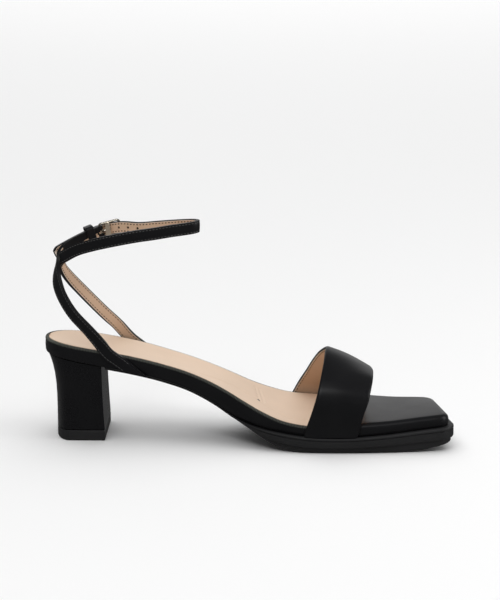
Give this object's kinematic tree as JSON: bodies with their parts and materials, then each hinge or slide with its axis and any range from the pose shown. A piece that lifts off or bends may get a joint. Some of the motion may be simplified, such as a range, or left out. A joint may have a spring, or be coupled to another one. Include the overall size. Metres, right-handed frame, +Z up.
{
  "type": "block heel sandal",
  "caption": "Open left sandal with a covered block heel, a thin sole with a square toe, one wide strap over the toes, and narrow straps that cross behind the ankle and close with a buckle.",
  "frame": {"origin": "on the floor, in the middle of the heel's walking piece", "axes": "+X from the heel to the toe, +Z up, -Y to the inner (medial) side of the foot, +Y to the outer (lateral) side"},
  "size_m": [0.2435, 0.0829, 0.1304],
  "materials": {
    "black_leather": "satin",
    "heel_leather": "satin, a little glossier than the straps",
    "tan_lining": "matte",
    "black_rubber": "matte",
    "pale_metal": "polished, pale gold"
  },
  "bodies": {
    "root": {"outsole": "black_rubber", "footbed": "black_leather", "insole_sock": "tan_lining", "heel_block": "heel_leather", "heel_top_piece": "black_rubber", "vamp_strap": "black_leather", "ankle_strap": "black_leather", "buckle_frame": "pale_metal", "buckle_prong": "pale_metal", "strap_keeper": "black_leather"}
  },
  "joints": []
}
